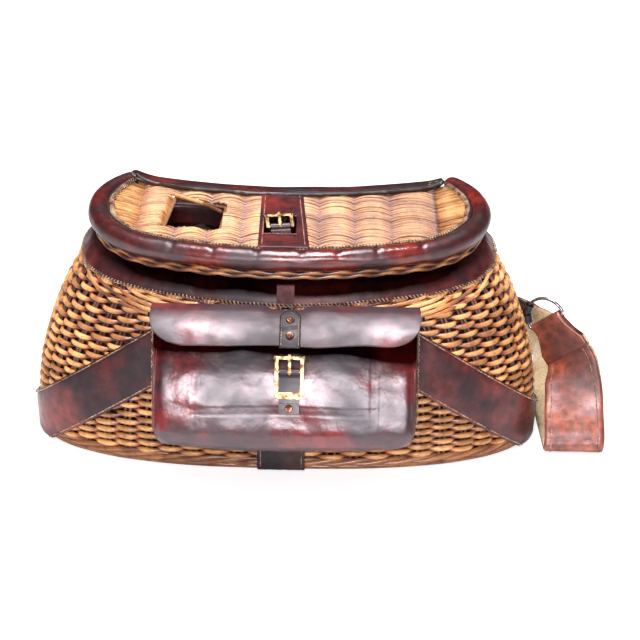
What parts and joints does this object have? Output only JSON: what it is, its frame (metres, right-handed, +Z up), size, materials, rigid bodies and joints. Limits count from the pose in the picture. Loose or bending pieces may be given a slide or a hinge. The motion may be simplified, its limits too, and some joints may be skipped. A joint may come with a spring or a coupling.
{
  "type": "fishing creel",
  "caption": "Woven willow fishing creel, kidney shaped, with a leather-bound hinged lid, a fish hole, a buckled leather pouch on the front and a wide leather shoulder strap.",
  "frame": {"origin": "middle of the flat ring that the basket stands on", "axes": "+X to the basket's right as seen from the pouch side, +Y from the pouch to the hollowed back, +Z up"},
  "size_m": [0.4436, 0.2648, 0.1745],
  "materials": {
    "willow": "varnished, weathered",
    "lid_willow": "varnished",
    "oxblood_leather": "polished, worn",
    "dark_leather": "polished, worn",
    "strap_leather": "polished, worn",
    "felt": "matte",
    "brass": "tarnished",
    "copper": "tarnished",
    "steel": "nickel plated, worn"
  },
  "bodies": {
    "basket": {"basket_wall": "willow", "base_panel": "willow", "foot_border": "willow", "mouth_border": "willow", "collar_band": "oxblood_leather", "hinge_rods": "willow", "hinge_keepers": "oxblood_leather", "pouch_back": "oxblood_leather", "pouch_front": "oxblood_leather", "pouch_bottom_tab": "dark_leather", "pouch_hanger": "oxblood_leather", "side_strap_left": "oxblood_leather", "side_strap_right": "oxblood_leather", "pouch_chape_foot": "dark_leather", "chape_rivet": "copper", "inner_strap_tails": "oxblood_leather", "ring_anchors_right": "dark_leather", "ring_anchors_left": "dark_leather", "shoulder_strap": "strap_leather", "shoulder_strap_lining": "felt"},
    "lid": {"lid_panel": "lid_willow", "lid_under_border": "oxblood_leather", "lid_rim_roll": "oxblood_leather", "lid_centre_strip": "oxblood_leather", "lid_back_binding": "dark_leather", "fish_hole_stick": "willow", "lid_hinge_loops": "oxblood_leather", "lid_buckle_chape": "dark_leather"},
    "lid_buckle": {"lid_buckle_frame": "brass"},
    "lid_prong": {"lid_buckle_prong": "brass"},
    "flap": {"pouch_flap": "oxblood_leather", "flap_tab": "dark_leather", "flap_rivets": "copper"},
    "pouch_buckle": {"pouch_buckle_frame": "brass", "pouch_buckle_chape": "dark_leather"},
    "pouch_prong": {"pouch_buckle_prong": "brass"},
    "dee_right": {"ring_right": "steel", "shoulder_strap_end_right": "strap_leather"},
    "dee_left": {"ring_left": "steel", "shoulder_strap_end_left": "strap_leather"}
  },
  "joints": [
    {"name": "lid_hinge", "type": "hinge", "parent": "basket", "child": "lid", "pos_m": [0, 0.08396, 0.159], "axis": [-1, 0, 0], "range_deg": [0, 105]},
    {"name": "lid_buckle_swing", "type": "hinge", "parent": "lid", "child": "lid_buckle", "pos_m": [-0.0062, -0.00438, 0.16472], "axis": [0.9903, 0.1386, 0.0121], "range_deg": [-6, 20]},
    {"name": "lid_prong_swing", "type": "hinge", "parent": "lid_buckle", "child": "lid_prong", "pos_m": [-0.0062, -0.00438, 0.16472], "axis": [0.9903, 0.1386, 0.0121], "range_deg": [0, 50]},
    {"name": "flap_hinge", "type": "hinge", "parent": "basket", "child": "flap", "pos_m": [0, -0.061, 0.1248], "axis": [-1, 0, 0], "range_deg": [0, 90]},
    {"name": "pouch_buckle_swing", "type": "hinge", "parent": "basket", "child": "pouch_buckle", "pos_m": [0.0037, -0.11072, 0.07376], "axis": [1, 0, 0], "range_deg": [0, 70]},
    {"name": "pouch_prong_swing", "type": "hinge", "parent": "pouch_buckle", "child": "pouch_prong", "pos_m": [0.0037, -0.1027, 0.0938], "axis": [1, 0, 0], "range_deg": [0, 95]},
    {"name": "ring_right_swing", "type": "hinge", "parent": "basket", "child": "dee_right", "pos_m": [0.18826, 0.01383, 0.086], "axis": [0, 0, 1], "range_deg": [-15, 25]},
    {"name": "ring_left_swing", "type": "hinge", "parent": "basket", "child": "dee_left", "pos_m": [-0.16323, 0.07261, 0.086], "axis": [0, 0, 1], "range_deg": [-12, 20]}
  ]
}
